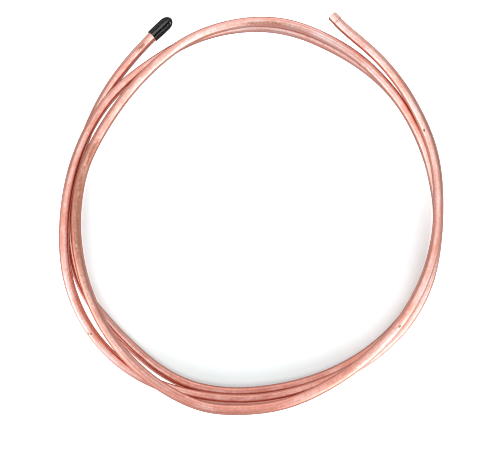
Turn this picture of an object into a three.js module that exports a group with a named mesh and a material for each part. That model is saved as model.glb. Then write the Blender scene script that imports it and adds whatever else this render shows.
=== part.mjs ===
import * as THREE from 'three';

// Loose flat coil of soft copper tube with one end closed by a push-on cap.
// Millimetres, +Z up. The coil lies on z = 0; the origin is the middle of its
// footprint. The capped end is at -X +Y, the open end at +X +Y.

// ---------- copper tube dimensions ----------
const TUBE_OD = 9.525;          // 3/8 in refrigeration-grade soft tube
const TUBE_WALL = 0.8128;       // 0.032 in
const TUBE_RADIUS = TUBE_OD / 2;
const TUBE_SIDES = 16;          // facets round the outside
const TUBE_BORE_SIDES = 12;     // facets round the bore
const TUBE_STEPS = 186;         // facets along the centre line
const ARC_LENGTH_SAMPLES = 6000; // for even spacing of the steps

// ---------- end cap dimensions ----------
const CAP_LENGTH = 25.4;        // rim to tip
const CAP_OD = 12.3;            // over the parallel part of the skirt
const CAP_RIM_OD = 11.9;        // the skirt draws in slightly at its mouth
const CAP_BORE_GAP = 0.3;       // radial gap between skirt and tube
const CAP_ENGAGEMENT = 18;      // length of tube inside the skirt
const CAP_END_GAP = 0.35;       // tube end to the bottom of the cap's bore
const CAP_SIDES = 28;           // facets round the cap

// ---------- materials ----------
const COPPER = { color: 0xd98e70, roughness: 0.3, metalness: 1.0 };
const VINYL = { color: 0x1a1a1c, roughness: 0.5, metalness: 0.0 };

// Centre line of the tube as [x, y, z], from the capped end to the open end: a
// little under three hand-wound turns, anticlockwise seen from above and
// climbing over one another.
const CENTRE_LINE = [
  [-82.25, 180.95, 7.12], [-94.66, 168.65, 6.69], [-106.54, 155.85, 6.30],
  [-117.77, 142.46, 5.90], [-128.17, 128.42, 5.52], [-137.49, 113.64, 5.19],
  [-145.52, 98.13, 4.94], [-152.36, 82.05, 4.80], [-158.21, 65.58, 4.77],
  [-163.21, 48.83, 4.77], [-167.06, 31.79, 4.77], [-169.33, 14.46, 4.77],
  [-169.97, -3.00, 4.77], [-169.22, -20.45, 4.77], [-166.87, -37.77, 4.77],
  [-162.63, -54.71, 4.77], [-156.26, -70.98, 4.77], [-147.48, -86.07, 4.77],
  [-136.44, -99.61, 4.77], [-124.57, -112.43, 4.77], [-112.09, -124.68, 4.77],
  [-99.02, -136.28, 4.77], [-85.13, -146.87, 4.77], [-70.10, -155.77, 4.77],
  [-53.89, -162.26, 4.77], [-36.88, -166.21, 4.77], [-19.49, -167.90, 4.77],
  [-2.02, -167.67, 4.77], [15.36, -165.89, 4.77], [32.58, -162.88, 4.77],
  [49.51, -158.58, 4.77], [66.05, -152.92, 4.77], [82.02, -145.84, 4.77],
  [97.26, -137.29, 4.77], [111.58, -127.29, 4.77], [124.80, -115.87, 4.77],
  [136.74, -103.11, 4.77], [147.21, -89.13, 4.77], [156.04, -74.05, 4.77],
  [163.13, -58.08, 4.77], [168.40, -41.43, 4.77], [171.81, -24.29, 4.77],
  [173.31, -6.89, 4.77], [172.89, 10.58, 4.77], [170.59, 27.90, 4.77],
  [166.61, 44.91, 4.77], [161.27, 61.55, 4.77], [154.71, 77.75, 4.77],
  [146.76, 93.30, 4.77], [137.23, 107.94, 4.77], [126.01, 121.33, 4.77],
  [113.28, 133.30, 4.77], [99.39, 143.90, 4.77], [84.62, 153.24, 4.77],
  [69.22, 161.49, 4.79], [53.26, 168.61, 4.84], [36.66, 174.06, 4.96],
  [19.50, 177.27, 5.15], [2.05, 178.08, 5.44], [-15.36, 176.69, 5.84],
  [-32.49, 173.28, 6.34], [-49.10, 167.93, 6.98], [-64.98, 160.69, 7.74],
  [-80.00, 151.80, 8.63], [-94.28, 141.78, 9.65], [-108.04, 131.06, 10.75],
  [-121.09, 119.49, 11.85], [-132.90, 106.66, 12.87], [-143.05, 92.47, 13.74],
  [-151.57, 77.23, 14.36], [-158.64, 61.25, 14.71], [-164.30, 44.72, 14.83],
  [-168.56, 27.78, 14.76], [-171.41, 10.54, 14.54], [-172.96, -6.87, 14.22],
  [-173.33, -24.33, 13.82], [-172.45, -41.78, 13.39], [-169.95, -59.06, 12.96],
  [-165.49, -75.95, 12.54], [-159.00, -92.16, 12.16], [-150.55, -107.45, 11.83],
  [-140.24, -121.55, 11.57], [-128.21, -134.21, 11.39], [-114.63, -145.19, 11.29],
  [-99.73, -154.31, 11.30], [-83.84, -161.57, 11.40], [-67.25, -167.06, 11.61],
  [-50.21, -170.92, 11.88], [-32.91, -173.35, 12.16], [-15.47, -174.45, 12.38],
  [1.99, -174.07, 12.53], [19.35, -172.09, 12.65], [36.47, -168.58, 12.75],
  [53.23, -163.65, 12.86], [69.58, -157.47, 12.98], [85.44, -150.14, 13.13],
  [100.64, -141.53, 13.31], [114.94, -131.49, 13.52], [128.06, -119.96, 13.75],
  [139.76, -106.98, 13.99], [149.75, -92.66, 14.22], [157.83, -77.17, 14.42],
  [163.83, -60.77, 14.57], [167.81, -43.76, 14.64], [170.38, -26.47, 14.63],
  [171.74, -9.05, 14.58], [171.17, 8.41, 14.51], [168.77, 25.72, 14.48],
  [165.17, 42.82, 14.48], [160.19, 59.56, 14.50], [153.56, 75.73, 14.50],
  [145.40, 91.18, 14.50], [135.89, 105.84, 14.52], [125.19, 119.65, 14.56],
  [113.42, 132.57, 14.64], [100.49, 144.32, 14.76], [86.29, 154.49, 14.93],
  [71.14, 163.19, 15.13], [55.34, 170.64, 15.39], [38.80, 176.27, 15.67],
  [21.62, 179.35, 15.99], [4.16, 179.72, 16.33], [-13.19, 177.73, 16.68],
  [-30.19, 173.74, 17.02], [-46.61, 167.78, 17.35], [-62.13, 159.78, 17.62],
  [-76.51, 149.86, 17.83], [-89.76, 138.47, 17.93], [-102.04, 126.03, 17.94],
  [-113.44, 112.79, 17.87], [-123.95, 98.83, 17.75], [-133.55, 84.23, 17.61],
  [-142.26, 69.08, 17.48], [-150.00, 53.41, 17.38], [-156.06, 37.03, 17.33],
  [-159.77, 19.96, 17.34], [-161.70, 2.59, 17.41], [-161.99, -14.88, 17.56],
  [-160.68, -32.30, 17.78], [-157.78, -49.53, 18.07], [-153.33, -66.42, 18.42],
  [-147.35, -82.83, 18.82], [-139.92, -98.64, 19.25], [-131.04, -113.68, 19.71],
  [-120.76, -127.80, 20.16], [-109.13, -140.83, 20.60], [-96.21, -152.59, 20.99],
  [-82.13, -162.92, 21.32], [-67.01, -171.67, 21.58], [-51.00, -178.66, 21.77],
  [-34.05, -182.83, 21.93], [-16.63, -183.99, 22.06], [0.84, -183.44, 22.18],
  [18.17, -181.23, 22.31], [35.09, -176.92, 22.44], [51.35, -170.52, 22.59],
  [66.95, -162.65, 22.75], [81.91, -153.62, 22.94], [96.15, -143.49, 23.14],
  [109.55, -132.29, 23.34], [121.99, -120.01, 23.56], [133.29, -106.69, 23.78],
  [143.29, -92.36, 24.00], [151.86, -77.14, 24.20], [158.92, -61.16, 24.38],
  [164.37, -44.56, 24.51], [168.16, -27.50, 24.59], [170.26, -10.16, 24.58],
  [170.94, 7.31, 24.46], [170.59, 24.78, 24.22], [168.80, 42.15, 23.83],
  [165.18, 59.24, 23.33], [159.66, 75.80, 22.74], [152.71, 91.82, 22.07],
  [144.62, 107.29, 21.37], [135.34, 122.08, 20.63], [124.82, 136.02, 19.87],
  [113.07, 148.92, 19.11], [100.38, 160.91, 18.34], [87.52, 172.73, 17.59],
  [75.58, 185.47, 16.90],
];

// ---------- helpers ----------
function ring(radius, sides) {
  return Array.from({ length: sides }, (_, i) => {
    const angle = (2 * Math.PI * i) / sides;
    return new THREE.Vector2(radius * Math.cos(angle), radius * Math.sin(angle));
  });
}

function namedMesh(name, geometry, finish) {
  const mesh = new THREE.Mesh(geometry, new THREE.MeshStandardMaterial(finish));
  mesh.name = name;
  return mesh;
}

function makeCentreLine() {
  const points = CENTRE_LINE.map((point) => new THREE.Vector3(...point));
  const curve = new THREE.CatmullRomCurve3(points, false, 'centripetal');
  curve.arcLengthDivisions = ARC_LENGTH_SAMPLES;
  return curve;
}

// ---------- copper tube: an annular section swept along the centre line ----------
function makeCopperTube(centreLine) {
  const section = new THREE.Shape(ring(TUBE_RADIUS, TUBE_SIDES));
  section.holes.push(new THREE.Path(ring(TUBE_RADIUS - TUBE_WALL, TUBE_BORE_SIDES)));
  const geometry = new THREE.ExtrudeGeometry(section, {
    steps: TUBE_STEPS,
    extrudePath: centreLine,
    bevelEnabled: false,
  });
  return namedMesh('copper_tube', geometry, COPPER);
}

// ---------- end cap ----------
// Half-section as [radius, height]: height 0 is the mouth, CAP_LENGTH the tip.
function capProfile() {
  const boreRadius = TUBE_RADIUS + CAP_BORE_GAP;
  const boreDepth = CAP_ENGAGEMENT + CAP_END_GAP;
  const capRadius = CAP_OD / 2;
  const rimRadius = CAP_RIM_OD / 2;
  return [
    // slightly domed bottom of the bore, then its wall
    [0, boreDepth + 0.25],
    [3.2, boreDepth + 0.2],
    [4.7, boreDepth],
    [boreRadius, boreDepth - 0.4],
    [boreRadius, 0.25],
    // mouth, eased on both edges
    [boreRadius + 0.15, 0],
    [rimRadius - 0.2, 0],
    [rimRadius, 0.3],
    // skirt, swelling to its parallel part
    [rimRadius + 0.05, 2.5],
    [capRadius - 0.08, 6.5],
    [capRadius, 10],
    [capRadius, 15.5],
    // blunt dome
    [capRadius - 0.07, 17.5],
    [capRadius - 0.3, 19.2],
    [capRadius - 0.8, 20.9],
    [capRadius - 1.4, 22.0],
    [capRadius - 2.15, 22.95],
    [capRadius - 3.1, 23.8],
    [capRadius - 4.1, 24.55],
    [capRadius - 5.2, 25.15],
    [0, CAP_LENGTH],
  ].map(([radius, height]) => new THREE.Vector2(radius, height));
}

// The cap's axis, its local +Y, runs outward along the tube's first end.
function makeEndCap(centreLine) {
  const cap = namedMesh('end_cap', new THREE.LatheGeometry(capProfile(), CAP_SIDES), VINYL);
  const tubeEnd = centreLine.getPointAt(0);
  const outward = centreLine.getTangentAt(0).negate();
  cap.position.copy(tubeEnd).addScaledVector(outward, -CAP_ENGAGEMENT);
  cap.quaternion.setFromUnitVectors(new THREE.Vector3(0, 1, 0), outward);
  return cap;
}

// ---------- assembly ----------
const centreLine = makeCentreLine();
const coil = new THREE.Group();
coil.name = 'tube_coil';
coil.add(makeCopperTube(centreLine), makeEndCap(centreLine));

export default coil;
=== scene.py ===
"""A coil of copper tube with a black vinyl cap on one end.

The coil lies on the floor (z = 0) round the world's Z axis, nearly three turns of about
175 mm radius. Shapes are worked out in millimetres and scaled to metres when a mesh is made.
Bearings are degrees round the ring: 0 is +X, 90 is +Y. The camera looks down from the -Y side.
"""

import math

import bmesh
import bpy
import numpy as np
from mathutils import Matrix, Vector


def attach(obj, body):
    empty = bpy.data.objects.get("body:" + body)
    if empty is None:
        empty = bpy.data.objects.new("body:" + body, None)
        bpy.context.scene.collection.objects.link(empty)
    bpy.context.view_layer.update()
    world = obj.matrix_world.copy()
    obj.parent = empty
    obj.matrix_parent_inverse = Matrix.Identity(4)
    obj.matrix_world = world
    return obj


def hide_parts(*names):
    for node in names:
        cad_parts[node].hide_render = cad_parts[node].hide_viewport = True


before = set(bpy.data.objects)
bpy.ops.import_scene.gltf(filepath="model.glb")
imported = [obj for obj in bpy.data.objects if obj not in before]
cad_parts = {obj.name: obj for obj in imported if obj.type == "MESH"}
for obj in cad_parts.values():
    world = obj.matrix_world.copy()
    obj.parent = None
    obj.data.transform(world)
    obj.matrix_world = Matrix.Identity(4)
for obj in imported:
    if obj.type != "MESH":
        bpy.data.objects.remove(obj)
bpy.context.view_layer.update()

MM = 0.001
TUBE_OD = 9.525
TUBE_WALL = 0.8128
R_OUT = TUBE_OD / 2
R_IN = R_OUT - TUBE_WALL

# Centre line of the tube: x, y, z in mm, capped end first.
CENTRE_LINE = np.array([
    [-82.25, 180.95, 7.12], [-94.66, 168.65, 6.69], [-106.54, 155.85, 6.30],
    [-117.77, 142.46, 5.90], [-128.17, 128.42, 5.52], [-137.49, 113.64, 5.19],
    [-145.52, 98.13, 4.94], [-152.36, 82.05, 4.80], [-158.21, 65.58, 4.77],
    [-163.21, 48.83, 4.77], [-167.06, 31.79, 4.77], [-169.33, 14.46, 4.77],
    [-169.97, -3.00, 4.77], [-169.22, -20.45, 4.77], [-166.87, -37.77, 4.77],
    [-162.63, -54.71, 4.77], [-156.26, -70.98, 4.77], [-147.48, -86.07, 4.77],
    [-136.44, -99.61, 4.77], [-124.57, -112.43, 4.77], [-112.09, -124.68, 4.77],
    [-99.02, -136.28, 4.77], [-85.13, -146.87, 4.77], [-70.10, -155.77, 4.77],
    [-53.89, -162.26, 4.77], [-36.88, -166.21, 4.77], [-19.49, -167.90, 4.77],
    [-2.02, -167.67, 4.77], [15.36, -165.89, 4.77], [32.58, -162.88, 4.77],
    [49.51, -158.58, 4.77], [66.05, -152.92, 4.77], [82.02, -145.84, 4.77],
    [97.26, -137.29, 4.77], [111.58, -127.29, 4.77], [124.80, -115.87, 4.77],
    [136.74, -103.11, 4.77], [147.21, -89.13, 4.77], [156.04, -74.05, 4.77],
    [163.13, -58.08, 4.77], [168.40, -41.43, 4.77], [171.81, -24.29, 4.77],
    [173.31, -6.89, 4.77], [172.89, 10.58, 4.77], [170.59, 27.90, 4.77],
    [166.61, 44.91, 4.77], [161.27, 61.55, 4.77], [154.71, 77.75, 4.77],
    [146.76, 93.30, 4.77], [137.23, 107.94, 4.77], [126.01, 121.33, 4.77],
    [113.28, 133.30, 4.77], [99.39, 143.90, 4.77], [84.62, 153.24, 4.77],
    [69.22, 161.49, 4.79], [53.26, 168.61, 4.84], [36.66, 174.06, 4.96],
    [19.50, 177.27, 5.15], [2.05, 178.08, 5.44], [-15.36, 176.69, 5.84],
    [-32.49, 173.28, 6.34], [-49.10, 167.93, 6.98], [-64.98, 160.69, 7.74],
    [-80.00, 151.80, 8.63], [-94.28, 141.78, 9.65], [-108.04, 131.06, 10.75],
    [-121.09, 119.49, 11.85], [-132.90, 106.66, 12.87], [-143.05, 92.47, 13.74],
    [-151.57, 77.23, 14.36], [-158.64, 61.25, 14.71], [-164.30, 44.72, 14.83],
    [-168.56, 27.78, 14.76], [-171.41, 10.54, 14.54], [-172.96, -6.87, 14.22],
    [-173.33, -24.33, 13.82], [-172.45, -41.78, 13.39], [-169.95, -59.06, 12.96],
    [-165.49, -75.95, 12.54], [-159.00, -92.16, 12.16], [-150.55, -107.45, 11.83],
    [-140.24, -121.55, 11.57], [-128.21, -134.21, 11.39], [-114.63, -145.19, 11.29],
    [-99.73, -154.31, 11.30], [-83.84, -161.57, 11.40], [-67.25, -167.06, 11.61],
    [-50.21, -170.92, 11.88], [-32.91, -173.35, 12.16], [-15.47, -174.45, 12.38],
    [1.99, -174.07, 12.53], [19.35, -172.09, 12.65], [36.47, -168.58, 12.75],
    [53.23, -163.65, 12.86], [69.58, -157.47, 12.98], [85.44, -150.14, 13.13],
    [100.64, -141.53, 13.31], [114.94, -131.49, 13.52], [128.06, -119.96, 13.75],
    [139.76, -106.98, 13.99], [149.75, -92.66, 14.22], [157.83, -77.17, 14.42],
    [163.83, -60.77, 14.57], [167.81, -43.76, 14.64], [170.38, -26.47, 14.63],
    [171.74, -9.05, 14.58], [171.17, 8.41, 14.51], [168.77, 25.72, 14.48],
    [165.17, 42.82, 14.48], [160.19, 59.56, 14.50], [153.56, 75.73, 14.50],
    [145.40, 91.18, 14.50], [135.89, 105.84, 14.52], [125.19, 119.65, 14.56],
    [113.42, 132.57, 14.64], [100.49, 144.32, 14.76], [86.29, 154.49, 14.93],
    [71.14, 163.19, 15.13], [55.34, 170.64, 15.39], [38.80, 176.27, 15.67],
    [21.62, 179.35, 15.99], [4.16, 179.72, 16.33], [-13.19, 177.73, 16.68],
    [-30.19, 173.74, 17.02], [-46.61, 167.78, 17.35], [-62.13, 159.78, 17.62],
    [-76.51, 149.86, 17.83], [-89.76, 138.47, 17.93], [-102.04, 126.03, 17.94],
    [-113.44, 112.79, 17.87], [-123.95, 98.83, 17.75], [-133.55, 84.23, 17.61],
    [-142.26, 69.08, 17.48], [-150.00, 53.41, 17.38], [-156.06, 37.03, 17.33],
    [-159.77, 19.96, 17.34], [-161.70, 2.59, 17.41], [-161.99, -14.88, 17.56],
    [-160.68, -32.30, 17.78], [-157.78, -49.53, 18.07], [-153.33, -66.42, 18.42],
    [-147.35, -82.83, 18.82], [-139.92, -98.64, 19.25], [-131.04, -113.68, 19.71],
    [-120.76, -127.80, 20.16], [-109.13, -140.83, 20.60], [-96.21, -152.59, 20.99],
    [-82.13, -162.92, 21.32], [-67.01, -171.67, 21.58], [-51.00, -178.66, 21.77],
    [-34.05, -182.83, 21.93], [-16.63, -183.99, 22.06], [0.84, -183.44, 22.18],
    [18.17, -181.23, 22.31], [35.09, -176.92, 22.44], [51.35, -170.52, 22.59],
    [66.95, -162.65, 22.75], [81.91, -153.62, 22.94], [96.15, -143.49, 23.14],
    [109.55, -132.29, 23.34], [121.99, -120.01, 23.56], [133.29, -106.69, 23.78],
    [143.29, -92.36, 24.00], [151.86, -77.14, 24.20], [158.92, -61.16, 24.38],
    [164.37, -44.56, 24.51], [168.16, -27.50, 24.59], [170.26, -10.16, 24.58],
    [170.94, 7.31, 24.46], [170.59, 24.78, 24.22], [168.80, 42.15, 23.83],
    [165.18, 59.24, 23.33], [159.66, 75.80, 22.74], [152.71, 91.82, 22.07],
    [144.62, 107.29, 21.37], [135.34, 122.08, 20.63], [124.82, 136.02, 19.87],
    [113.07, 148.92, 19.11], [100.38, 160.91, 18.34], [87.52, 172.73, 17.59],
    [75.58, 185.47, 16.90],
])


# ---------------------------------------------------------------- helpers
def bell(offset, width, power=2.0):
    return np.exp(-np.abs(offset / width) ** power)


def unit_clip(x):
    return np.clip(x, 0, 1)


def ease(x):
    """Smooth step from 0 to 1 as x goes from 0 to 1."""
    x = unit_clip(x)
    return x * x * (3 - 2 * x)


def turn_from(angle, centre, full=2 * math.pi):
    """Signed angle from centre, within half a full turn either way."""
    return (angle - centre + full / 2) % full - full / 2


def waves(x, seed, wavelengths):
    """Smooth noise of roughly unit size: a sum of sines at about the given wavelengths."""
    rng = np.random.default_rng(seed)
    total = np.zeros_like(x)
    for length in wavelengths:
        total += np.sin(2 * math.pi * x / (length * rng.uniform(0.85, 1.15))
                        + rng.uniform(0, 6.28))
    return total / math.sqrt(len(wavelengths))


def natural_spline(points):
    """C2 cubic through the points. Returns its chord length, and distance -> (place, tangent)."""
    chord = np.linalg.norm(np.diff(points, axis=0), axis=1)
    knots = np.concatenate([[0.0], np.cumsum(chord)])
    slope = np.diff(points, axis=0) / chord[:, None]
    count = len(points)
    system = np.zeros((count, count))
    system[0, 0] = system[-1, -1] = 1.0
    for i in range(1, count - 1):
        system[i, i - 1:i + 2] = chord[i - 1], 2 * (chord[i - 1] + chord[i]), chord[i]
    change = np.zeros((count, 3))
    change[1:-1] = 6 * np.diff(slope, axis=0)
    curve = np.linalg.solve(system, change)      # second derivative at each point

    def at(distance):
        distance = np.asarray(distance, float)
        i = np.clip(np.searchsorted(knots, distance, side="right") - 1, 0, count - 2)
        h = chord[i][:, None]
        a = ((knots[i + 1] - distance) / chord[i])[:, None]
        b = 1 - a
        place = (a * points[i] + b * points[i + 1]
                 + ((a ** 3 - a) * curve[i] + (b ** 3 - b) * curve[i + 1]) * h ** 2 / 6)
        tangent = (slope[i] - (3 * a ** 2 - 1) / 6 * h * curve[i]
                   + (3 * b ** 2 - 1) / 6 * h * curve[i + 1])
        return place, tangent / np.linalg.norm(tangent, axis=1)[:, None]

    return knots[-1], at


def new_mesh(name, verts_mm, faces):
    mesh = bpy.data.meshes.new(name)
    mesh.from_pydata((verts_mm * MM).tolist(), [], faces)
    mesh.validate()
    mesh.update()
    ob = bpy.data.objects.new(name, mesh)
    bpy.context.scene.collection.objects.link(ob)
    mesh.shade_smooth()
    return ob


def attribute(ob, name, values, kind="FLOAT"):
    layer = ob.data.attributes.new(name, kind, "POINT")
    values = np.asarray(values, dtype=np.float32).reshape(-1)
    layer.data.foreach_set("value" if kind == "FLOAT" else "vector", values)


def face_outward(ob):
    bm = bmesh.new()
    bm.from_mesh(ob.data)
    bmesh.ops.recalc_face_normals(bm, faces=bm.faces)
    if bm.calc_volume(signed=True) < 0:
        bmesh.ops.reverse_faces(bm, faces=bm.faces)
    bm.to_mesh(ob.data)
    bm.free()


# ---------------------------------------------------------------- tube shape
LENGTH, centre_at = natural_spline(CENTRE_LINE)
SIDES = 44
SCORE = LENGTH - 8.1              # groove round the tube near the open end
# End profiles: (distance from the end, change from the outer or bore radius), in mesh order.
CAPPED_BORE = [(1.6, 0), (0.8, -0.03), (0.25, -0.12), (0.05, -0.06), (0.0, 0.05)]
CAPPED_RIM = [(0.0, -0.34), (0.03, -0.2), (0.14, -0.09), (0.35, -0.02)]
OPEN_RIM = [(0.62, -0.03), (0.35, -0.08), (0.16, -0.16), (0.04, -0.28), (0.0, -0.42)]
OPEN_BORE = [(0.0, 0.07), (0.06, -0.05), (0.3, -0.13), (0.9, -0.05), (1.8, 0)]


def tube_stations():
    """Distance, radius and whether outside for each ring: capped end, outside, open end, bore."""
    outside = np.concatenate([np.arange(0.9, 6.0, 0.4), np.arange(6.0, LENGTH - 12.0, 1.7),
                              np.arange(LENGTH - 12.0, LENGTH - 0.9, 0.2)])
    rings = [(s, R_IN + change, False) for s, change in CAPPED_BORE]
    rings += [(s, R_OUT + change, True) for s, change in CAPPED_RIM]
    rings += [(s, R_OUT, True) for s in outside]
    rings += [(LENGTH - s, R_OUT + change, True) for s, change in OPEN_RIM]
    rings += [(LENGTH - s, R_IN + change, False) for s, change in OPEN_BORE]
    rings += [(s, R_IN, False) for s in np.arange(LENGTH - 4.0, 3.0, -6.5)]
    return (np.array(column) for column in zip(*rings))


STATION, BASE_RADIUS, OUTER = tube_stations()
ANGLE = np.arange(SIDES) * 2 * math.pi / SIDES     # from the top, + towards the ring's outside
SPINE, TANGENT = centre_at(STATION)


def tube_radius():
    """Radius of each vertex: winding, dents and the score on top of the base radius."""
    radius = np.repeat(BASE_RADIUS[:, None], SIDES, axis=1)
    # ovality from winding, and faint waviness along the tube
    oval = 0.05 + 0.02 * waves(STATION, 3, [210, 470])
    lean = 0.25 * waves(STATION, 5, [330, 610])
    radius += oval[:, None] * np.cos(2 * (ANGLE - lean[:, None]))
    radius += 0.012 * waves(STATION, 7, [23, 41, 67])[:, None]
    rng = np.random.default_rng(20)
    for _ in range(46):
        place = rng.uniform(40, LENGTH - 30)
        angle = rng.uniform(-math.pi, math.pi)
        half_length = rng.uniform(2.5, 9.0)
        half_angle = rng.uniform(0.35, 0.9)
        depth = rng.uniform(0.03, 0.11)
        along = bell(STATION - place, half_length) * OUTER
        radius -= depth * along[:, None] * bell(turn_from(ANGLE, angle), half_angle)
    # the score, with the metal raised a little on each side of it
    gap = STATION - SCORE
    groove = -0.12 * bell(gap, 0.42) + 0.05 * (bell(gap - 0.95, 0.4) + bell(gap + 0.95, 0.4))
    uneven = 1 + 0.35 * np.cos(ANGLE - 0.7) + 0.2 * np.cos(3 * ANGLE + 1.0)
    return radius + (groove * OUTER)[:, None] * uneven


def tube_rings():
    side = np.cross(TANGENT, [0.0, 0.0, 1.0])      # towards the ring's outside
    side /= np.linalg.norm(side, axis=1)[:, None]
    lift = np.cross(side, TANGENT)
    # the short section beyond the score sits a hair outward
    shift = 0.22 * ease((STATION - (SCORE - 0.4)) / 0.9)
    middle = SPINE + side * shift[:, None]
    direction = (np.cos(ANGLE)[:, None] * lift[:, None, :]
                 + np.sin(ANGLE)[:, None] * side[:, None, :])
    return middle[:, None, :] + tube_radius()[:, :, None] * direction


def tube_faces():
    index = np.arange(len(STATION) * SIDES).reshape(-1, SIDES)
    beside = np.roll(index, -1, axis=1)
    corners = [index, beside, np.roll(beside, -1, axis=0), np.roll(index, -1, axis=0)]
    return np.stack(corners, -1).reshape(-1, 4).tolist()


def unrolled():
    """Texture place of each vertex: (R cos, R sin, distance along)."""
    shape = (len(STATION), SIDES)
    return np.stack([np.broadcast_to(R_OUT * np.cos(ANGLE), shape),
                     np.broadcast_to(R_OUT * np.sin(ANGLE), shape),
                     np.broadcast_to(STATION[:, None], shape)], -1)


# ---------------------------------------------------------------- tube marks
# Distance along (mm), angle from the top (degrees, + outward), half length, half angle, strength.
STAINS = [
    (2386, 0, 54, 95, 1.8), (2440, -8, 42, 60, 0.8), (2350, 5, 11, 60, 1.8),
    (2323, -34, 10, 27, 3.2), (2334, -42, 8, 24, 2.8), (2331, 16, 13, 12, 1.6),
    (2279, 25, 7, 24, 0.8), (2097, -28, 28, 18, 1.5), (2117, -33, 14, 20, 1.3),
    (2016, -20, 22, 16, 0.4), (33, -6, 4.5, 24, 1.8), (61, 25, 18, 14, 0.45),
    (102, 40, 30, 16, 0.35), (3102, -42, 4, 16, 0.9), (3081, 45, 26, 14, 0.5),
    (3036, 52, 40, 16, 0.45), (2925, 55, 60, 14, 0.3), (2458, -30, 60, 20, 0.4),
    (2559, 20, 50, 22, 0.35), (2183, 30, 40, 25, 0.45), (1665, 20, 60, 22, 0.3),
    (1406, 20, 20, 14, 0.3), (1168, -30, 70, 20, 0.3), (914, 35, 60, 16, 0.3),
    (711, -20, 70, 22, 0.3), (427, 30, 60, 18, 0.35), (569, -35, 50, 14, 0.3),
    (1828, -30, 60, 18, 0.3),
]
SPECKS = [
    (33, -8, 2.6, 15, 0.42), (3001, -28, 1.3, 13, 1.4), (2103, 52, 1.9, 20, 1.6),
    (1405.4, 38, 1.2, 13, 1.4), (1407.2, 12, 0.95, 11, 1.3), (2810, 20, 1.7, 16, 0.95),
    (2004, -78, 2.0, 18, 0.8), (905, -28, 1.6, 13, 0.5), (3131.5, 58, 1.7, 22, 0.62),
    (3131, -56, 1.8, 18, 0.6), (2681, -12, 1.0, 8, 0.6), (2193, 8, 1.1, 9, 0.5),
    (1320, -8, 1.0, 8, 0.55), (416, 14, 1.1, 9, 0.5), (1584, 30, 1.2, 9, 0.5),
    (2265, 18, 1.0, 8, 0.6), (3057, 10, 0.9, 8, 0.5),
]
# Tone of the metal every 30 degrees of bearing: 0 is fresh, 1 the dullest.
# Part is duller metal, and part stands in for light that differs from place to place.
DULL_AND_PAINTED_LIGHT = [0.38, 0.24, 0.04, 0.02, 0.14, 0.66, 0.46, 0.50, 0.95, 0.90, 0.80, 0.46, 0.38]


def mark_field(marks, power):
    field = np.zeros((len(STATION), SIDES))
    for place, angle, half_length, half_angle, strength in marks:
        along = bell(STATION - place, half_length, power)[:, None]
        across = bell(turn_from(ANGLE, math.radians(angle)), math.radians(half_angle), power)
        field = np.maximum(field, strength * along * across)
    return field * OUTER[:, None]


# painted shade between the turns: a mask for darkening where another turn lies close
def crevice_shade_field(rings):
    """1 where another turn lies against the tube, fading out over a few millimetres."""
    samples = np.arange(0.0, LENGTH, 1.5)
    line, _ = centre_at(samples)
    field = np.zeros((len(STATION), SIDES))
    for i in np.flatnonzero(OUTER):
        close = np.linalg.norm(line - rings[i].mean(axis=0), axis=1) <= 22.0
        other_turn = line[close & (np.abs(samples - STATION[i]) > 200)]
        if len(other_turn):
            apart = np.linalg.norm(rings[i][:, None, :] - other_turn, axis=2).min(axis=1) - R_OUT
            field[i] = bell(np.maximum(apart, 0), 1.5, power=1.5)
    return field


# tone of the metal: its own dullness by bearing mixed with painted light and shade, the inner
# turns' painted shade, and painted highlights on the flanks
def dull_and_painted_light_field(rings):
    bearing = np.degrees(np.arctan2(SPINE[:, 1], SPINE[:, 0])) % 360
    ring_radius = np.hypot(SPINE[:, 0], SPINE[:, 1])
    dull_and_painted_light = np.interp(bearing, np.arange(0, 361, 30), DULL_AND_PAINTED_LIGHT)
    # painted shade: the two inner turns on the -Y side are darker than the outer one
    inner_turn = unit_clip((180.5 - 0.18 * (bearing - 255) - ring_radius) / 4.0)
    dull_and_painted_light += 0.50 * inner_turn * np.interp(bearing, [244, 262, 290, 308], [0, 1, 1, 0])
    # highlights of near lights, as paler metal because the surroundings here are all distant:
    # the outward flanks towards +X -Y, and the outermost turn towards -X -Y
    normal = rings - rings.mean(axis=1, keepdims=True)
    normal /= np.linalg.norm(normal, axis=2, keepdims=True)
    radial = SPINE[:, :2] / ring_radius[:, None]
    outward = (normal[:, :, :2] * radial[:, None, :]).sum(axis=2)
    flank = np.interp(bearing, [286, 306, 334, 352], [0, 1, 1, 0])
    outermost = unit_clip((ring_radius - 175.0) / 5.0)
    outermost *= np.interp(bearing, [194, 209, 222, 230, 238], [0, 1, 1, 0.7, 0])
    return (dull_and_painted_light[:, None] - 0.95 * unit_clip((outward - 0.05) / 0.5) * flank[:, None]
            - 1.75 * unit_clip((outward + 0.02) / 0.5) * outermost[:, None])


def build_tube():
    rings = tube_rings()
    ob = new_mesh("copper_tube_drawn", rings.reshape(-1, 3), tube_faces())
    attribute(ob, "tube_co", unrolled(), "FLOAT_VECTOR")
    attribute(ob, "stain", mark_field(STAINS, power=2.0))
    attribute(ob, "speck", mark_field(SPECKS, power=3.0))
    for name, along in (("fresh", unit_clip((STATION - (SCORE + 0.3)) / 0.6)),
                        ("rim", unit_clip((STATION - (LENGTH - 0.75)) / 0.3) * OUTER),
                        ("score", bell(STATION - SCORE, 0.6) * OUTER)):
        attribute(ob, name, np.repeat(along, SIDES))
    attribute(ob, "crevice_shade", crevice_shade_field(rings))
    attribute(ob, "dull_and_painted_light", dull_and_painted_light_field(rings))
    face_outward(ob)
    return ob


# ---------------------------------------------------------------- end cap
CAP_ENGAGEMENT = 18.0             # how far the mouth reaches down the tube
CAP_SIDES = 64
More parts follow.
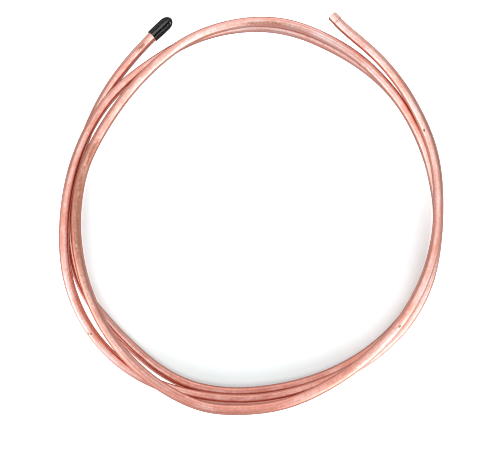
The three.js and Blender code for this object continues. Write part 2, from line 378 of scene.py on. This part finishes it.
# Profiles in the cap's own space, (radius, z): z = 0 is the mouth, +z towards the tip.
CAP_OUTSIDE = [
    (5.02, 0.05), (5.2, -0.02), (5.5, -0.03), (5.78, 0.05), (5.9, 0.25), (5.93, 0.6),
    (5.94, 1.2), (5.96, 2.2), (6.0, 3.6), (6.04, 5.2), (6.08, 7.0), (6.1, 9.0), (6.11, 11.0),
    (6.11, 13.0), (6.11, 15.0), (6.08, 16.6), (6.0, 18.0), (5.85, 19.2), (5.58, 20.3),
    (5.2, 21.3), (4.65, 22.25), (3.95, 23.15), (3.2, 23.9), (2.45, 24.45), (1.75, 24.84),
    (1.1, 25.12), (0.55, 25.28),
]
CAP_BORE = [
    (4.96, 0.35), (4.93, 1.2), (4.92, 4.0), (4.92, 8.0), (4.92, 12.0), (4.92, 16.0),
    (4.92, 18.3), (4.85, 18.8), (4.4, 19.4), (3.4, 20.0), (2.2, 20.4), (1.0, 20.6),
]
CAP_TIP_Z = 25.36
CAP_BORE_END_Z = 20.65
CREASE_ANGLE = 35.0
LOBE_ANGLE = CREASE_ANGLE - 62


def cap_verts():
    """Rings from the tip down the outside and up the bore, then the two end points."""
    profile = np.array(CAP_OUTSIDE[::-1] + CAP_BORE)
    height = profile[:, 1]
    outside = np.arange(len(profile)) < len(CAP_OUTSIDE)
    angle = np.arange(CAP_SIDES) * 2 * math.pi / CAP_SIDES
    radius = np.repeat(profile[:, :1], CAP_SIDES, axis=1)
    # slight out-of-round and the moulding's soft lengthwise ridges
    skirt = outside * unit_clip((height - 0.5) / 3) * unit_clip((23 - height) / 6)
    ridge = (0.035 * np.cos(2 * angle + 0.6) + 0.03 * np.cos(3 * angle - 1.1)
             + 0.018 * np.cos(7 * angle + 2.0) + 0.012 * np.cos(13 * angle))
    radius += skirt[:, None] * ridge
    # the tip is pinched: a shallow crease leaves a small second lobe beside it
    for depth, centre, z, half_height, half_angle in ((-0.42, CREASE_ANGLE, 22.6, 1.5, 0.36),
                                                      (0.34, LOBE_ANGLE, 22.9, 1.9, 0.5)):
        along = outside * bell(height - z, half_height)
        across = bell(turn_from(angle, math.radians(centre)), half_angle)
        radius += depth * along[:, None] * across
    # the mouth's edge is not quite flat
    near_mouth = np.exp(-height / 0.9) * (height < 1.5)
    uneven = 0.09 * np.cos(angle - 0.8) + 0.05 * np.cos(3 * angle + 0.4)
    z = height[:, None] + near_mouth[:, None] * uneven
    verts = np.stack([radius * np.cos(angle), radius * np.sin(angle), z], -1).reshape(-1, 3)
    return np.vstack([verts, [[0, 0, CAP_TIP_Z], [0, 0, CAP_BORE_END_Z]]])


def cap_faces():
    ring_count = len(CAP_OUTSIDE) + len(CAP_BORE)
    index = np.arange(ring_count * CAP_SIDES).reshape(-1, CAP_SIDES).tolist()
    tip = ring_count * CAP_SIDES
    around = [(j, (j + 1) % CAP_SIDES) for j in range(CAP_SIDES)]
    faces = [(ring[k], following[k], following[j], ring[j])
             for ring, following in zip(index, index[1:]) for j, k in around]
    for j, k in around:
        faces.append((index[0][k], index[0][j], tip))
        faces.append((index[-1][j], index[-1][k], tip + 1))
    return faces


def build_cap():
    start, tangent = (v[0] for v in centre_at([0.0]))
    axis = -tangent
    inward = -np.cross([0, 0, 1.0], axis)
    inward /= np.linalg.norm(inward)
    up = -np.cross(axis, inward)
    # x of the cap's own space points up, y towards the inside of the ring
    verts = cap_verts()
    mouth = start - axis * CAP_ENGAGEMENT
    placed = mouth + verts[:, :1] * up + verts[:, 1:2] * inward + verts[:, 2:] * axis
    ob = new_mesh("end_cap_moulded", placed, cap_faces())
    attribute(ob, "cap_co", verts, "FLOAT_VECTOR")
    face_outward(ob)
    smooth = ob.modifiers.new("smooth", "SUBSURF")
    smooth.levels = smooth.render_levels = 1
    return ob


# ---------------------------------------------------------------- node helpers
class NodeTree:
    """Adds and links the nodes of a material or world. Values may be sockets or constants."""

    def __init__(self, owner):
        owner.use_nodes = True
        self.tree = owner.node_tree
        self.tree.nodes.clear()

    def node(self, kind, **settings):
        node = self.tree.nodes.new(kind)
        for name, value in settings.items():
            setattr(node, name, value)
        return node

    def put(self, socket, value):
        if isinstance(value, bpy.types.NodeSocket):
            self.tree.links.new(value, socket)
        else:
            socket.default_value = value

    def math(self, operation, *values, clamp=False):
        node = self.node("ShaderNodeMath", operation=operation, use_clamp=clamp)
        for socket, value in zip(node.inputs, values):
            self.put(socket, value)
        return node.outputs[0]

    def vector(self, operation, *values, output="Vector"):
        node = self.node("ShaderNodeVectorMath", operation=operation)
        for socket, value in zip(node.inputs, values):
            self.put(socket, value)
        return node.outputs[output]


class Material(NodeTree):
    """A material made of one Principled surface."""

    def __init__(self, name):
        self.material = bpy.data.materials.new(name)
        super().__init__(self.material)
        output = self.node("ShaderNodeOutputMaterial")
        self.surface = self.node("ShaderNodeBsdfPrincipled")
        self.put(output.inputs[0], self.surface.outputs[0])

    def set(self, values):
        for name, value in values.items():
            self.put(self.surface.inputs[name], value)

    def attr(self, name, output="Fac"):
        return self.node("ShaderNodeAttribute", attribute_name=name).outputs[output]

    def add(self, a, b, clamp=False):
        return self.math("ADD", a, b, 0.0, clamp=clamp)

    def sub(self, a, b, clamp=False):
        return self.math("SUBTRACT", a, b, 0.0, clamp=clamp)

    def mul(self, a, b, clamp=False):
        return self.math("MULTIPLY", a, b, 0.0, clamp=clamp)

    def weighted(self, total, *terms):
        """Total plus each (value, weight)."""
        for value, weight in terms:
            total = self.add(total, self.mul(value, weight))
        return total

    def stretch(self, place, along, across=1.0):
        """Scale a texture place: along is the part's length, across its section."""
        return self.vector("MULTIPLY", place, (across, across, along))

    def noise(self, place, scale, detail=2.0, roughness=0.5, distortion=0.0):
        node = self.node("ShaderNodeTexNoise")
        for name, value in (("Scale", scale), ("Detail", detail), ("Roughness", roughness),
                            ("Distortion", distortion), ("Vector", place)):
            self.put(node.inputs[name], value)
        return node.outputs["Fac"]

    def ramp(self, value, start, end, low=0.0, high=1.0, kind="SMOOTHSTEP"):
        """Goes from low to high as value goes from start to end."""
        node = self.node("ShaderNodeMapRange", interpolation_type=kind)
        for name, number in (("Value", value), ("From Min", start), ("From Max", end),
                             ("To Min", low), ("To Max", high)):
            self.put(node.inputs[name], number)
        return node.outputs["Result"]

    def mix(self, factor, first, second, blend="MIX"):
        node = self.node("ShaderNodeMix", data_type="RGBA", blend_type=blend)
        self.put(node.inputs[0], factor)
        for socket, colour in ((node.inputs[6], first), (node.inputs[7], second)):
            self.put(socket, colour + (1.0,) if isinstance(colour, tuple) else colour)
        return node.outputs[2]

    def tint(self, base, mask, amount, colour):
        return self.mix(self.mul(mask, amount), base, colour)

    def facing(self):
        """0 where the surface faces the viewer, 1 where it is edge-on."""
        node = self.node("ShaderNodeLayerWeight")
        node.inputs["Blend"].default_value = 0.5
        return node.outputs["Facing"]

    def bump(self, height_mm):
        node = self.node("ShaderNodeBump")
        node.inputs["Strength"].default_value = 1.0
        node.inputs["Distance"].default_value = MM
        self.put(node.inputs["Height"], height_mm)
        return node.outputs[0]


# ---------------------------------------------------------------- materials
# Multiplier on the copper's colour by the tone value, palest first: below 0 the painted
# highlights, above 0 the metal's own dullness mixed with painted light and shade.
COPPER_TONES = [
    (-1.1, (0.95, 1.90, 2.25)), (-0.5, (0.97, 1.48, 1.72)), (0.0, (1.055, 1.24, 1.34)),
    (0.45, (1.0, 1.0, 1.01)), (1.0, (0.82, 0.69, 0.66)), (1.5, (0.58, 0.41, 0.385)),
]


def copper_material():
    m = Material("drawn_copper")
    co = m.attr("tube_co", "Vector")
    # draw lines a fraction of a millimetre apart, and broader draw bands
    streak = m.noise(m.stretch(co, along=0.012), scale=5.5, detail=3, roughness=0.6)
    bands = m.noise(m.stretch(co, along=0.03), scale=1.6, detail=2, roughness=0.55)
    cloud = m.noise(m.stretch(co, along=0.35), scale=0.12, detail=3, roughness=0.55)
    mottle = m.noise(m.stretch(co, along=0.55), scale=0.55, detail=4, roughness=0.6,
                     distortion=0.4)
    grain = m.noise(co, scale=5.0, detail=2, roughness=0.6)
    # hand-wound unevenness, and blotches a few millimetres wide
    wobble = m.noise(m.stretch(co, along=0.7), scale=0.16, distortion=0.3)
    dapple = m.noise(co, scale=0.32, detail=3, roughness=0.65, distortion=0.6)

    pink = (0.815, 0.475, 0.418)
    deep = (0.775, 0.345, 0.268)
    base = m.mix(m.ramp(cloud, start=0.38, end=0.66), pink, deep)
    for noise, start, end, amount, colour in (
            (mottle, 0.5, 0.72, 0.45, (0.815, 0.405, 0.372)),
            (dapple, 0.50, 0.68, 0.50, (0.74, 0.315, 0.265)),
            (dapple, 0.48, 0.32, 0.40, (0.87, 0.56, 0.515)),
            (bands, 0.48, 0.7, 0.5, (0.82, 0.455, 0.355)),
            (streak, 0.35, 0.72, 0.30, (0.66, 0.25, 0.18))):
        base = m.tint(base, m.ramp(noise, start, end), amount, colour)

    # paler on one side of the ring, duller and redder on the other: partly the metal's own tone,
    # partly painted light and shade, with painted highlights and painted shade from the tone
    # field
    dull_and_painted_light = m.weighted(m.attr("dull_and_painted_light"), (m.sub(cloud, 0.5), 0.9), (m.sub(dapple, 0.5), 0.6))
    tone = COPPER_TONES[0][1]
    for (start, _), (end, colour) in zip(COPPER_TONES, COPPER_TONES[1:]):
        tone = m.mix(m.ramp(dull_and_painted_light, start, end, kind="LINEAR"), tone, colour)
    base = m.mix(1.0, base, tone, blend="MULTIPLY")

    # brown oxide where the coil has been handled or has lain damp
    broken = m.ramp(m.weighted(m.mul(mottle, 0.7), (grain, 0.3)), start=0.36, end=0.62)
    stain = m.mul(m.attr("stain"), m.add(m.mul(broken, 0.75), 0.25), clamp=True)
    oxide = m.mix(m.ramp(grain, start=0.4, end=0.62), (0.31, 0.13, 0.072), (0.45, 0.215, 0.145))
    base = m.tint(base, stain, amount=0.93, colour=oxide)
    speck = m.mul(m.attr("speck"), m.add(m.mul(grain, 0.8), 0.6))
    speck = m.ramp(speck, start=0.3, end=0.75)
    base = m.tint(base, speck, amount=0.85, colour=(0.075, 0.04, 0.035))
    # scattered fine flecks
    fleck = m.noise(m.stretch(co, along=0.6), scale=1.15, detail=1, roughness=0.4)
    fleck = m.ramp(fleck, start=0.735, end=0.79)
    base = m.tint(base, fleck, amount=0.55, colour=(0.32, 0.14, 0.09))
    # painted shade where another turn lies against the tube
    base = m.tint(base, m.attr("crevice_shade"), amount=0.55, colour=(0.32, 0.12, 0.07))
    facing = m.facing()
    # painted shade: the flanks, turned away from the view, are tinted a deeper, redder copper
    flank = m.mul(m.ramp(facing, start=0.03, end=0.24),
                  m.ramp(facing, start=0.45, end=0.80, low=1.0, high=0.45))
    base = m.tint(base, flank, amount=0.60, colour=(0.80, 0.325, 0.238))
    # painted shade: the last of the flank, seen edge-on, is tinted a dark greyish mauve
    edge = m.ramp(facing, start=0.30, end=0.75)
    base = m.tint(base, edge, amount=0.55, colour=(0.50, 0.335, 0.33))
    fresh = m.attr("fresh")
    base = m.tint(base, fresh, amount=0.7, colour=(0.93, 0.52, 0.43))
    base = m.tint(base, m.attr("rim"), amount=0.62, colour=(0.30, 0.17, 0.14))
    base = m.tint(base, m.attr("score"), amount=0.55, colour=(0.46, 0.20, 0.15))

    rough = m.weighted(0.10, (streak, 0.06), (m.ramp(cloud, start=0.35, end=0.7), 0.07),
                       (m.ramp(dapple, start=0.40, end=0.66), 0.09), (stain, 0.24), (speck, 0.3))
    scratch = m.noise(m.stretch(co, along=0.05), scale=3.2, detail=0)
    scratch = m.ramp(scratch, start=0.66, end=0.72)
    height = m.weighted(m.mul(streak, 0.006), (bands, 0.014), (mottle, 0.048), (wobble, 0.22),
                        (dapple, 0.08))
    height = m.weighted(m.sub(height, m.mul(scratch, 0.006)), (grain, 0.003))
    # the thin clear film that handling leaves: patchy, and nearly gone where there is a stain
    film = m.weighted(0.50, (m.ramp(cloud, start=0.66, end=0.36), 0.45))
    film = m.mul(film, m.sub(1.0, m.mul(stain, 0.95)), clamp=True)
    film = m.mul(film, m.sub(1.0, m.ramp(facing, start=0.10, end=0.50)), clamp=True)
    m.set({
        "Base Color": base,
        "Metallic": 1.0,
        "Specular Tint": (0.86, 0.66, 0.60, 1.0),
        "Roughness": m.sub(rough, m.mul(fresh, 0.05)),
        "Normal": m.bump(height),
        "Coat Weight": film,
        "Coat Roughness": 0.20,
        "Coat IOR": 1.62,
    })
    return m.material


def vinyl_material():
    m = Material("black_vinyl")
    co = m.attr("cap_co", "Vector")
    peel = m.noise(co, scale=1.4, detail=3, roughness=0.55)
    fine = m.noise(co, scale=7.0, detail=2, roughness=0.6)
    ribs = m.noise(m.stretch(co, along=0.06), scale=1.1)
    rings = m.noise(m.stretch(co, along=1.0, across=0.05), scale=2.2)
    split = m.node("ShaderNodeSeparateXYZ")
    m.put(split.inputs[0], co)
    x, y, z = split.outputs
    # degrees round the cap from its top, made a little ragged
    angle = m.mul(m.math("ARCTAN2", y, x, 0.0), 180 / math.pi)
    angle = m.weighted(angle, (m.sub(rings, 0.5), 9.0), (m.sub(peel, 0.5), 7.0))

    def band(start, end, soft):
        return m.mul(m.ramp(angle, start - soft, start + soft),
                     m.ramp(angle, end + soft, end - soft))

    # painted reflections: lengthwise bands of raised specular level, and one of lowered specular
    # level and darker base, stand in for the studio's reflections
    bright_reflection_band = band(start=-1, end=13.5, soft=4.0)
    black = m.mul(band(start=20, end=33, soft=2.5), m.ramp(z, start=24.6, end=22.6))
    reflection_patch = m.mul(m.ramp(z, start=15.8, end=16.8), m.ramp(z, start=19.5, end=18.0))
    side_reflection_band = m.mul(band(start=37.5, end=48, soft=3.0),
                  m.add(m.ramp(z, start=17.5, end=14.0), reflection_patch, clamp=True))
    level = m.weighted(0.115, (bright_reflection_band, 0.80), (side_reflection_band, 0.85))
    level = m.sub(level, m.mul(black, 0.30), clamp=True)
    level = m.mul(level, m.weighted(0.7, (peel, 0.6)))
    # painted shade: the reflection fades towards the cap's edges
    edge_loss = m.mul(m.math("POWER", m.facing(), 0.8, 0.0), 0.95)
    level = m.mul(level, m.sub(1.0, edge_loss), clamp=True)

    base = m.mix(m.ramp(peel, start=0.4, end=0.65), (0.010, 0.010, 0.011), (0.022, 0.022, 0.024))
    base = m.mix(black, base, (0.003, 0.003, 0.003))
    dust = m.ramp(m.noise(co, scale=2.6, detail=0), start=0.79, end=0.83)
    base = m.tint(base, dust, amount=0.8, colour=(0.55, 0.55, 0.56))
    # two pale nicks at the pinched tip
    for spot, size in (((4.1, 2.9, 21.4), 0.42), ((3.5, 4.2, 20.6), 0.34)):
        away = m.vector("DISTANCE", co, spot, output="Value")
        nick = m.ramp(away, start=size * 1.5, end=size * 0.7)
        base = m.mix(nick, base, (0.62, 0.62, 0.64))
    height = m.weighted(m.mul(peel, 0.07), (fine, 0.012), (ribs, 0.15), (rings, 0.04))
    m.set({
        "Specular IOR Level": level,
        "Base Color": base,
        "Roughness": m.weighted(0.22, (peel, 0.12), (ribs, 0.10)),
        "IOR": 1.53,
        "Normal": m.bump(height),
    })
    return m.material


PAPER = [0.885 * channel for channel in (0.96, 1.0, 1.005)]
PAPER_VARIATION = 0.006
UNDERLIGHT = 0.75                 # strength of the light through the sheet
GLARE = 1.1                       # strength of the glare beside the coil


def floor_material():
    m = Material("studio_floor")
    co = m.node("ShaderNodeTexCoord").outputs["Object"]
    cloud = m.noise(co, scale=3.0, detail=3)
    base = m.mix(m.ramp(cloud, start=0.3, end=0.7),
                 tuple(c - PAPER_VARIATION for c in PAPER),
                 tuple(c + PAPER_VARIATION for c in PAPER))
    # the camera sees white paper; the copper mirrors a greyer one
    direct = m.node("ShaderNodeLightPath").outputs["Is Camera Ray"]
    shade = m.mix(m.attr("shade"), (1.0, 1.0, 1.0), (0.785, 0.80, 0.80))
    shaded = m.mix(1.0, base, shade, blend="MULTIPLY")
    base = m.mix(direct, (0.52, 0.52, 0.53), shaded)
    # the camera sees light through the sheet; only the metal picks up the glare
    through = m.mul(m.mul(direct, m.attr("lit_through")), UNDERLIGHT)
    glare = m.mul(m.mul(m.sub(1.0, direct), m.attr("glow")), GLARE)
    m.set({
        "Emission Color": (1, 1, 1, 1),
        "Emission Strength": m.add(through, glare),
        "Base Color": base,
        "Roughness": 0.75,
        "Specular IOR Level": 0.15,
    })
    return m.material


# ---------------------------------------------------------------- floor
FLOOR_STEPS = 120
FLOOR_RADIUS = 4000.0
# Floor rings, mm outward from the coil's inner edge.
FLOOR_OFFSETS = [-90, -60, -52, -46, -40, -34, -28, -22, -16, -11, -8, -4, -2, 0, 1, 2, 3, 4, 5,
                 6, 7, 12, 20, 40, 70, 120]
# Extra shade inside the ring: (bearing, strength), then (offset, share of it).
SHADE = [(0, 0.85), (15, 0.6), (30, 0.3), (60, 0.1), (105, 0.1), (120, 0.2), (150, 0.3),
         (165, 0.5), (180, 0.12), (195, 0), (225, 0), (240, 0.6), (255, 1.05), (285, 1.0),
         (300, 0.4), (312, 0), (332, 0), (345, 0.05), (360, 0.85)]
SHADE_TAIL = [(-52, 0), (-34, 0.20), (-22, 0.42), (-12, 0.70), (-7, 0.88), (-3, 0.50),
              (0, 0.10), (3, 0)]
# Extra light inside the ring, laid out the same way.
LIFT = [(0, 0), (180, 0), (198, 0.05), (210, 0.13), (225, 0.07), (240, 0), (300, 0.03),
        (315, 0.14), (330, 0.14), (345, 0), (360, 0)]
LIFT_TAIL = [(-34, 0), (-22, 0.25), (-12, 1), (-4, 1), (1, 0.5), (3, 0)]


def look_up(x, table):
    return np.interp(x, *zip(*table))


def coil_inner_edge(bearings):
    line, _ = centre_at(np.arange(20.0, LENGTH, 2.0))
    line_bearing = np.degrees(np.arctan2(line[:, 1], line[:, 0])) % 360
    line_radius = np.hypot(line[:, 0], line[:, 1])
    edge = np.array([line_radius[np.abs(turn_from(line_bearing, b, full=360)) < 3.0].min()
                     for b in bearings]) - R_OUT
    return np.convolve(np.concatenate([edge[-2:], edge, edge[:2]]), np.ones(5) / 5, "valid")


def build_floor():
    """Rings of vertices that follow the coil's inner edge, round one vertex in the middle."""
    bearing = 360.0 / FLOOR_STEPS * np.arange(FLOOR_STEPS)
    offset = np.append(FLOOR_OFFSETS, FLOOR_RADIUS)[:, None]
    radius = coil_inner_edge(bearing) + offset
    radius[-1] = FLOOR_RADIUS
    x = radius * np.cos(np.radians(bearing))
    y = radius * np.sin(np.radians(bearing))
    verts = np.stack([x, y, np.zeros_like(x)], -1).reshape(-1, 3) * MM

    # light through the sheet reaches further in on the +Y side
    under = unit_clip((offset - 1.0) / 5.0)
    far_side = ease((np.cos(np.radians(bearing - 85)) + 0.30) / 1.15)
    lit = (under + (1.0 - under) * far_side * ease((offset + 52.0) / 44.0)
           + look_up(offset, LIFT_TAIL) * look_up(bearing, LIFT))
    # two patches of glare, towards -X -Y and +X -Y
    near = np.maximum(bell(turn_from(bearing, 217, full=360), 15.0),
                      0.85 * bell(turn_from(bearing, 313, full=360), 19.0))
    glow = near * unit_clip((offset - 7) / 13.0) * unit_clip((120 - offset) / 80.0)
    shade = look_up(offset, SHADE_TAIL) * look_up(bearing, SHADE)

    around = [(1 + k, 1 + (k + 1) % FLOOR_STEPS) for k in range(FLOOR_STEPS)]
    faces = [(0, a, b) for a, b in around]
    for ring in range(len(FLOOR_OFFSETS)):
        near_row = ring * FLOOR_STEPS
        far_row = near_row + FLOOR_STEPS
        faces += [(a + near_row, a + far_row, b + far_row, b + near_row) for a, b in around]

    mesh = bpy.data.meshes.new("studio_floor")
    mesh.from_pydata([(0.0, 0.0, 0.0)] + verts.tolist(), [], faces)
    ob = bpy.data.objects.new("studio_floor", mesh)
    ob.location = (0, 0, -0.0001)
    bpy.context.scene.collection.objects.link(ob)
    for name, field in (("lit_through", lit), ("glow", glow), ("shade", shade)):
        attribute(ob, name, np.append(0.0, field))
    mesh.materials.append(floor_material())


# ---------------------------------------------------------------- light and camera
# Studio surroundings as soft lobes: bearing, elevation, radiance.
LOBES = [
    (30, 72, 0.54), (90, 72, 0.43), (150, 72, 0.74), (210, 72, 0.22), (270, 72, 0.16),
    (330, 72, 0.98), (36, 54, 0.14), (72, 54, 0.20), (108, 54, 0.43), (144, 54, 0.25),
    (180, 54, 0.60), (216, 54, 0.26), (252, 54, 0.79), (324, 54, 0.74), (13, 37, 0.73),
    (39, 37, 0.19), (64, 37, 0.48), (90, 37, 0.65), (116, 37, 0.58), (141, 37, 0.27),
    (167, 37, 0.44), (193, 37, 0.67), (219, 37, 0.34), (244, 37, 0.43), (270, 37, 0.24),
    (296, 37, 0.82), (321, 37, 0.78), (347, 37, 0.37), (68, 21, 0.09), (90, 21, 0.16),
    (135, 21, 0.05), (180, 21, 0.30), (202, 21, 0.39), (248, 21, 0.23), (270, 21, 0.06),
    (292, 21, 0.16), (315, 21, 0.37), (338, 21, 0.48), (10, 6, 0.11), (30, 6, 0.36),
    (50, 6, 0.48), (70, 6, 1.06), (90, 6, 0.71), (110, 6, 0.72), (130, 6, 0.86),
    (150, 6, 0.18), (170, 6, 0.52), (190, 6, 1.27), (210, 6, 1.02), (216, 22, 0.28),
    (230, 6, 0.60), (250, 6, 0.36), (270, 6, 0.38), (290, 6, 0.77), (310, 6, 1.67),
    (330, 6, 1.14), (350, 6, 0.83),
]
LOBE_SHARPNESS = 18.0
LOBE_GAIN = 0.834
STEEPNESS = 1.5                   # power that deepens the contrast between lobes

KEY_BEARING, KEY_ELEVATION, KEY_DISTANCE = 272, 42, 1.5
KEY_SIZE = (1.5, 1.1)
KEY_POWER = 11.0

CAMERA_PLACE = (-1.8878540e-3, -204.7374297e-3, 1139.2340803e-3)
CAMERA_TARGET = (-1.8878540e-3, -14.9326829e-3, 5.0056386e-3)
CAMERA_SENSOR = 36.0
CAMERA_LENS = 89.0322552


def direction(bearing, elevation):
    b, e = math.radians(bearing), math.radians(elevation)
    return (math.cos(e) * math.cos(b), math.cos(e) * math.sin(b), math.sin(e))


def build_world():
    world = bpy.data.worlds.new("studio")
    t = NodeTree(world)
    output = t.node("ShaderNodeOutputWorld")
    background = t.node("ShaderNodeBackground")
    t.put(output.inputs[0], background.outputs[0])
    view = t.vector("NORMALIZE", t.node("ShaderNodeTexCoord").outputs["Generated"])
    total = 0.0
    for bearing, elevation, radiance in LOBES:
        dot = t.vector("DOT_PRODUCT", view, direction(bearing, elevation), output="Value")
        lobe = t.math("EXPONENT", t.math("MULTIPLY_ADD", dot, LOBE_SHARPNESS, -LOBE_SHARPNESS))
        total = t.math("MULTIPLY_ADD", lobe, radiance * LOBE_GAIN, total)
    t.put(background.inputs[1], t.math("POWER", total, STEEPNESS))
    t.put(background.inputs[0], (1, 1, 1, 1))
    bpy.context.scene.world = world


def place_aimed(name, data, place, target):
    ob = bpy.data.objects.new(name, data)
    bpy.context.scene.collection.objects.link(ob)
    ob.location = place
    ob.rotation_mode = "QUATERNION"
    ob.rotation_quaternion = (Vector(target) - Vector(place)).to_track_quat("-Z", "Y")
    return ob


def build_key():
    """A large soft key on the -Y side: it shapes the shadows, the world the reflections."""
    light = bpy.data.lights.new("key_softbox", "AREA")
    light.shape = "RECTANGLE"
    light.size, light.size_y = KEY_SIZE
    light.energy = KEY_POWER
    light.color = (1, 1, 1)
    place = [KEY_DISTANCE * c for c in direction(KEY_BEARING, KEY_ELEVATION)]
    place_aimed("key_softbox", light, place, target=(0, 0, 0)).visible_glossy = False


def build_camera():
    data = bpy.data.cameras.new("camera")
    data.sensor_width = CAMERA_SENSOR
    data.lens = CAMERA_LENS
    data.clip_start, data.clip_end = 0.05, 20
    bpy.context.scene.camera = place_aimed("camera", data, CAMERA_PLACE, CAMERA_TARGET)


# ---------------------------------------------------------------- build
tube = build_tube()
cap = build_cap()
tube.data.materials.append(copper_material())
cap.data.materials.append(vinyl_material())
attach(tube, "tube")
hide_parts("copper_tube")
cap.visible_glossy = False        # keeps a black smear off the turn that runs close by
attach(cap, "cap")
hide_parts("end_cap")
build_floor()
build_world()
build_key()
build_camera()

scene = bpy.context.scene
scene.view_settings.view_transform = "Standard"
scene.view_settings.look = "None"
scene.view_settings.exposure = 0.0
if hasattr(scene, "cycles"):      # absent when the Cycles add-on is off
    scene.cycles.filter_width = 1.1
